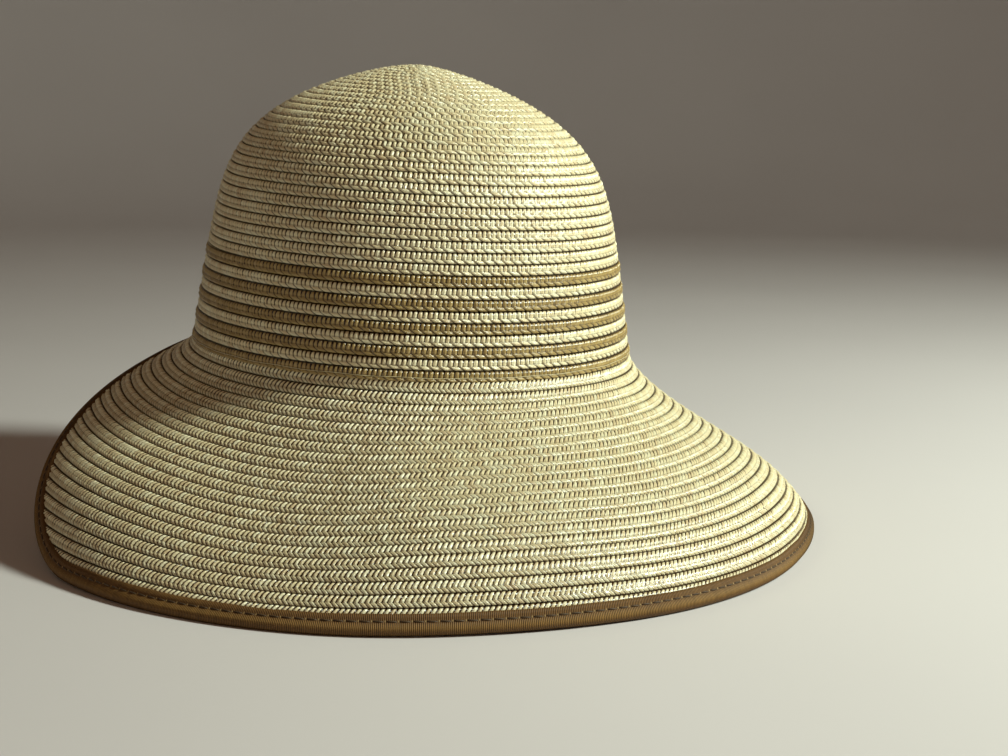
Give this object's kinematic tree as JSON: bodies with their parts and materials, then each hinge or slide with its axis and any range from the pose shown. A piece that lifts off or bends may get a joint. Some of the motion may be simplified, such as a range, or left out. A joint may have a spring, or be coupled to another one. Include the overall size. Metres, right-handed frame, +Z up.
{
  "type": "wide brim hat",
  "caption": "Round-crowned straw braid hat with a wide downturned brim, cut short at the back and bound with ribbon.",
  "frame": {"origin": "middle of the hat's box, on the floor that it rests on", "axes": "+Z up from the floor, -Y towards the front of the hat, +X towards the wearer's left"},
  "size_m": [0.3358, 0.2886, 0.1886],
  "materials": {
    "straw": "sewn natural paper straw braid, slightly glossy",
    "tan_straw": "sewn tan paper straw braid, slightly glossy",
    "ribbon": "ribbed bronze ribbon, matt"
  },
  "bodies": {
    "root": {"crown": "straw", "tan_row_1": "tan_straw", "straw_row_1": "straw", "tan_row_2": "tan_straw", "straw_row_2": "straw", "tan_row_3": "tan_straw", "straw_row_3": "straw", "tan_row_4": "tan_straw", "straw_row_4": "straw", "tan_row_5": "tan_straw", "brim": "straw", "brim_binding": "ribbon"}
  },
  "joints": []
}
